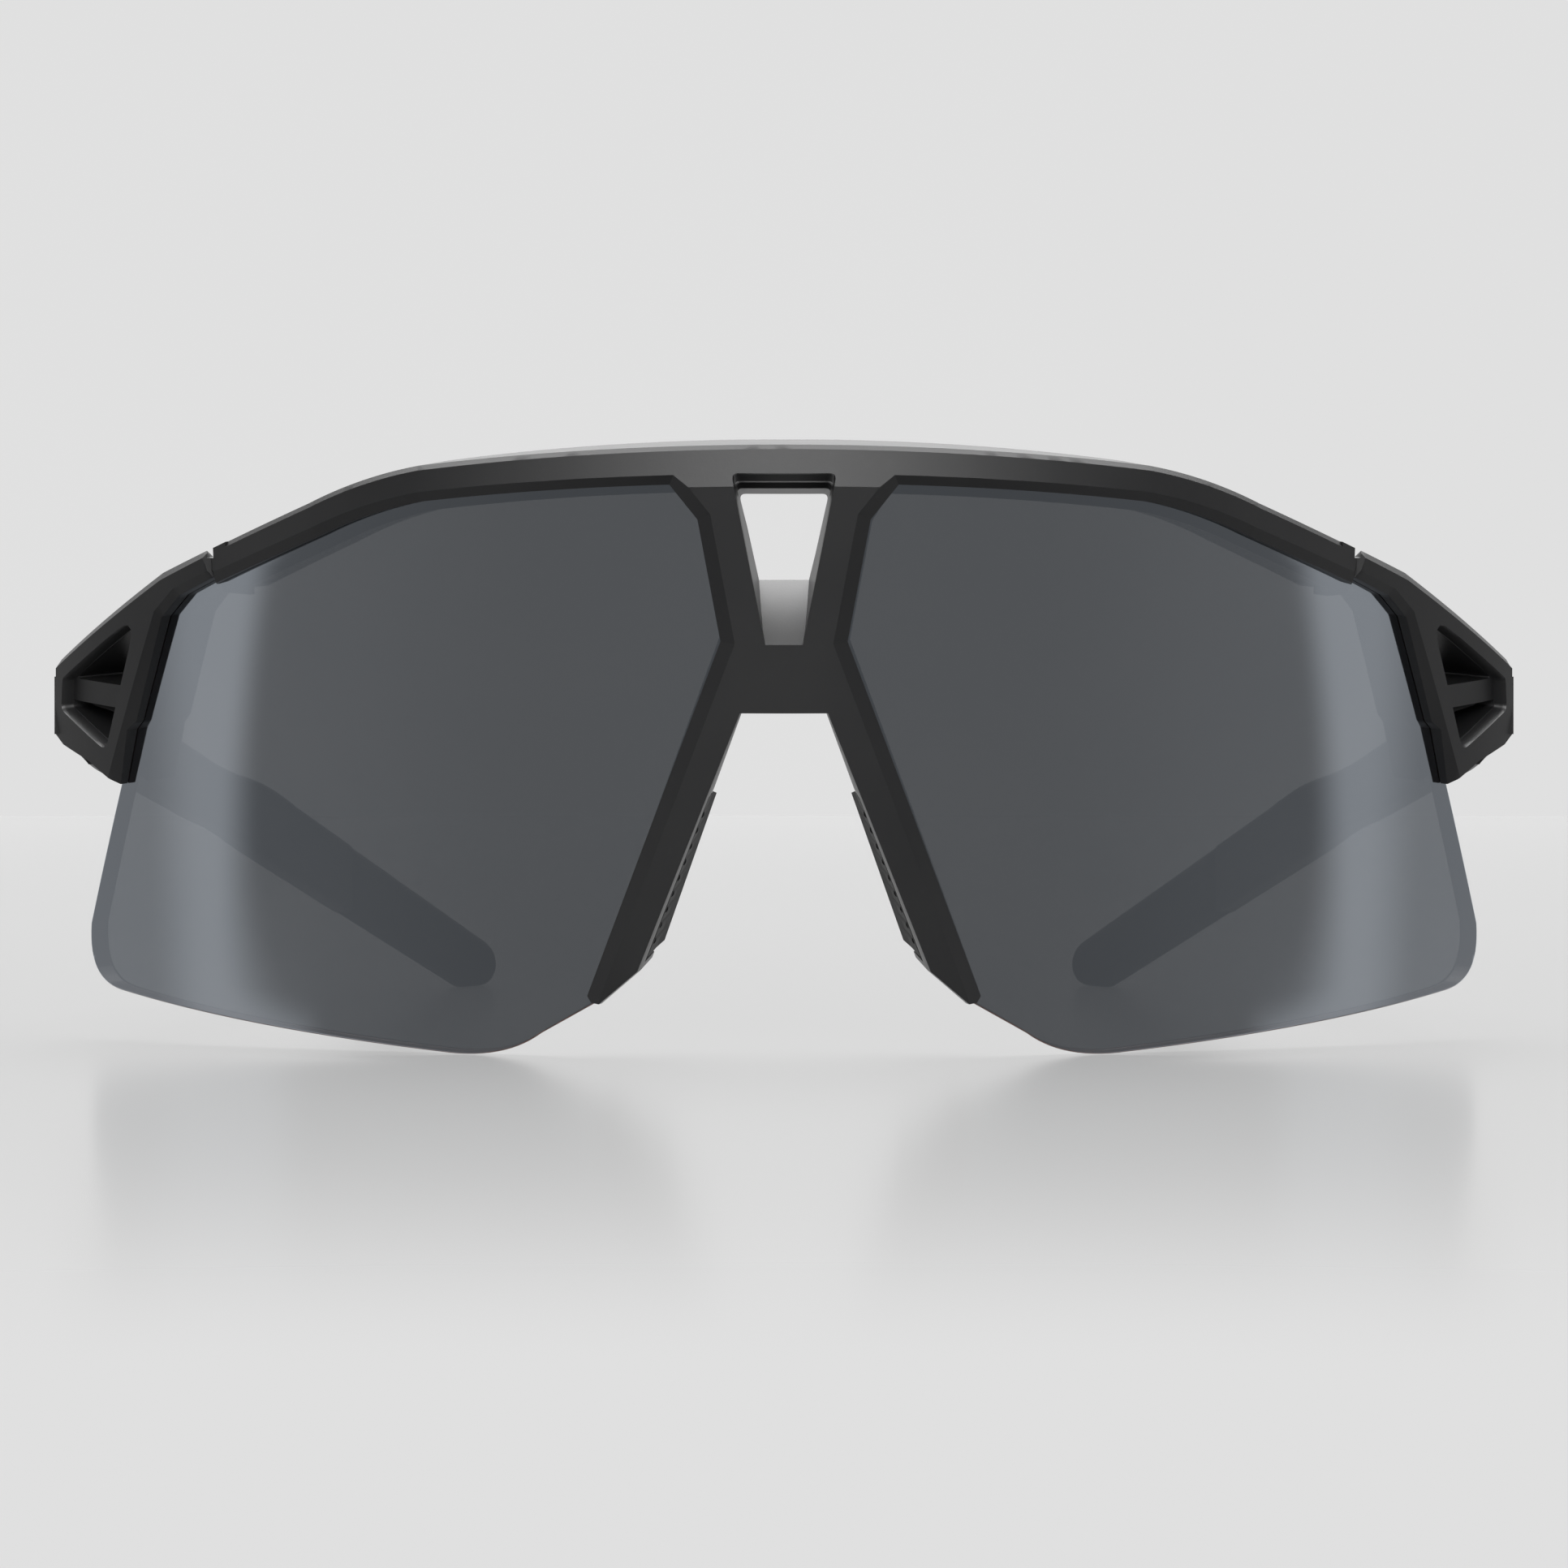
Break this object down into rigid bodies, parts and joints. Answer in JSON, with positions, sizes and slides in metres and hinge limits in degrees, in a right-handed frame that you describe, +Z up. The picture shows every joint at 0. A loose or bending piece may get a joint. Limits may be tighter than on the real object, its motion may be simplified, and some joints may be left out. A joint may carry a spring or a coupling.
{
  "type": "wraparound sport sunglasses",
  "caption": "Half-rim wraparound sport sunglasses with two tilted cylindrical mirror lenses, swing-open end pieces and folding temples.",
  "frame": {"origin": "middle of the outer box, on the surface the glasses stand on", "axes": "the front faces -Y, the temples run towards +Y, +Z up; the wearer's left is at +X"},
  "size_m": [0.1448, 0.1554, 0.0569],
  "materials": {
    "frame_plastic": "satin black moulded nylon",
    "lens_mirror": "silver-grey mirror coat on polycarbonate",
    "soft_rubber": "soft matte black rubber",
    "steel": "turned stainless steel",
    "brass": "turned brass",
    "nylon": "moulded nylon"
  },
  "bodies": {
    "front": {"front_frame": "frame_plastic", "lens_left": "lens_mirror", "lens_right": "lens_mirror", "nose_pad_left": "soft_rubber", "nose_pad_right": "soft_rubber", "endpiece_pin_left": "steel", "endpiece_pin_right": "steel"},
    "end_piece_left": {"endpiece_left": "frame_plastic", "hinge_screw_left": "steel", "hinge_nut_left": "brass"},
    "side_arm_left": {"temple_left": "frame_plastic", "temple_tip_left": "soft_rubber", "tip_core_left": "steel", "hinge_bush_left": "nylon"},
    "end_piece_right": {"endpiece_right": "frame_plastic", "hinge_screw_right": "steel", "hinge_nut_right": "brass"},
    "side_arm_right": {"temple_right": "frame_plastic", "temple_tip_right": "soft_rubber", "tip_core_right": "steel", "hinge_bush_right": "nylon"}
  },
  "joints": [
    {"name": "end_piece_swing_right", "type": "hinge", "parent": "front", "child": "end_piece_right", "pos_m": [0.05494, -0.05564, 0.04589], "axis": [0.6105, -0.7823, -0.1239], "range_deg": [0, 10]},
    {"name": "temple_fold_right", "type": "hinge", "parent": "end_piece_right", "child": "side_arm_right", "pos_m": [0.0675, -0.03266, 0.0321], "axis": [0, 0, 1], "range_deg": [0, 68]},
    {"name": "end_piece_swing_left", "type": "hinge", "parent": "front", "child": "end_piece_left", "pos_m": [-0.05494, -0.05564, 0.04589], "axis": [0.6105, 0.7823, 0.1239], "range_deg": [0, 10]},
    {"name": "temple_fold_left", "type": "hinge", "parent": "end_piece_left", "child": "side_arm_left", "pos_m": [-0.0675, -0.03266, 0.0321], "axis": [0, 0, -1], "range_deg": [0, 82]}
  ]
}
